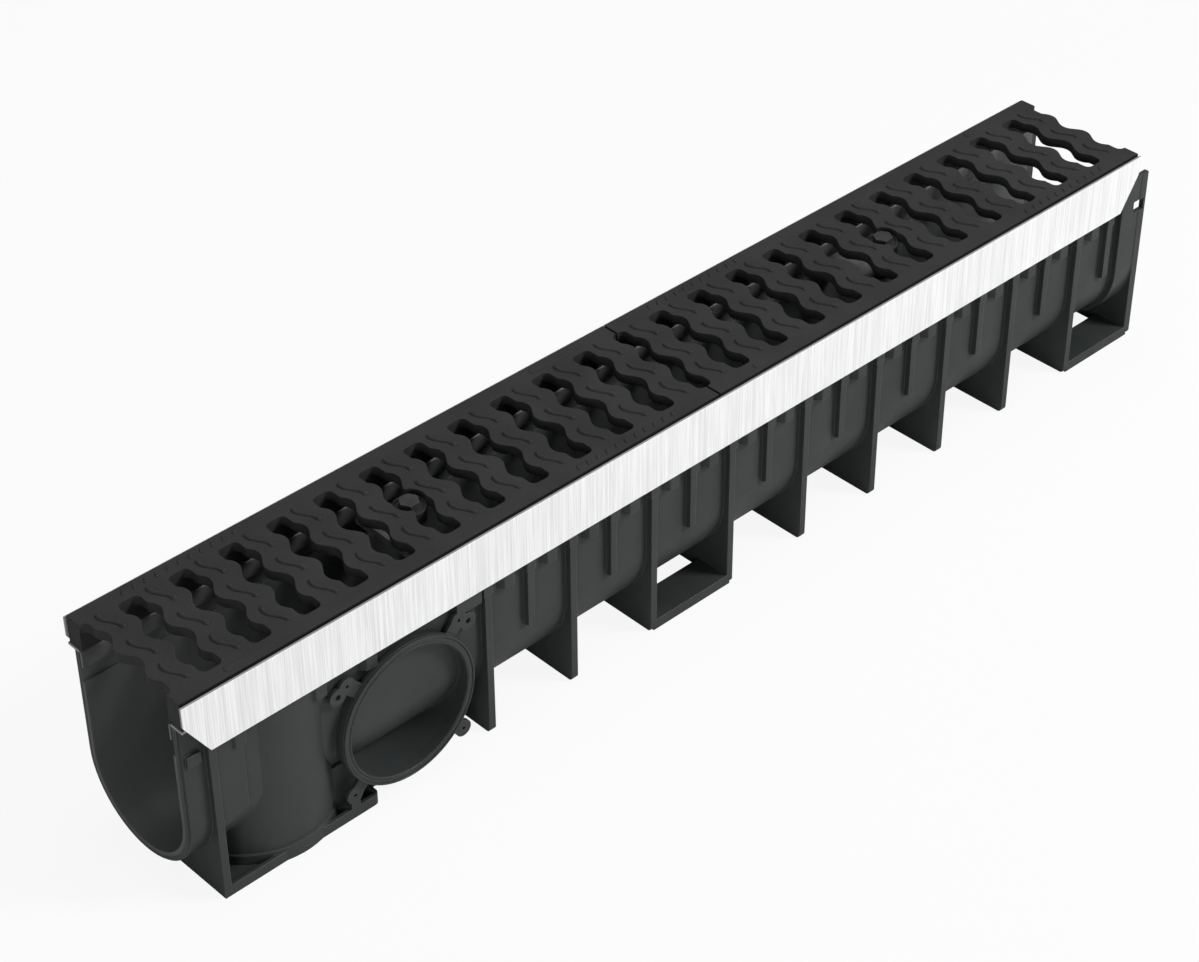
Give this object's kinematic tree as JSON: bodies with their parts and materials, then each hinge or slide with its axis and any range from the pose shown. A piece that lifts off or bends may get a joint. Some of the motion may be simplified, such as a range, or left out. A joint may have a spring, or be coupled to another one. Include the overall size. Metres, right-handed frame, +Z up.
{
  "type": "slot drain",
  "caption": "Drainage channel for paved ground: moulded trough with spigot and socket ends, sheet edge rails and bolted wavy-slot cast gratings.",
  "frame": {"origin": "middle of the bounding box, on the ground under the channel", "axes": "+X along the channel from the spigot to the socket, +Z up to the gratings, Y across"},
  "size_m": [1.0184, 0.132, 0.19],
  "materials": {
    "moulded_plastic": "satin black moulded",
    "galvanised_sheet": "bright brushed",
    "cast_grating": "matte black coated",
    "lock_steel": "black coated",
    "bar_steel": "black coated"
  },
  "bodies": {
    "drain": {"channel_body": "moulded_plastic", "rail_left": "galvanised_sheet", "rail_right": "galvanised_sheet", "grating_near": "cast_grating", "grating_far": "cast_grating"},
    "lock_near": {"bolt_near": "lock_steel", "locking_bar_near": "bar_steel", "nut_near": "lock_steel"},
    "lock_far": {"bolt_far": "lock_steel", "locking_bar_far": "bar_steel", "nut_far": "lock_steel"}
  },
  "joints": [
    {"name": "lock_near_turn", "type": "hinge", "parent": "drain", "child": "lock_near", "pos_m": [-0.25925, 0, 0.1487], "axis": [0, 0, 1], "range_deg": [0, 90]},
    {"name": "lock_far_turn", "type": "hinge", "parent": "drain", "child": "lock_far", "pos_m": [0.24075, 0, 0.1487], "axis": [0, 0, 1], "range_deg": [0, 90]}
  ]
}
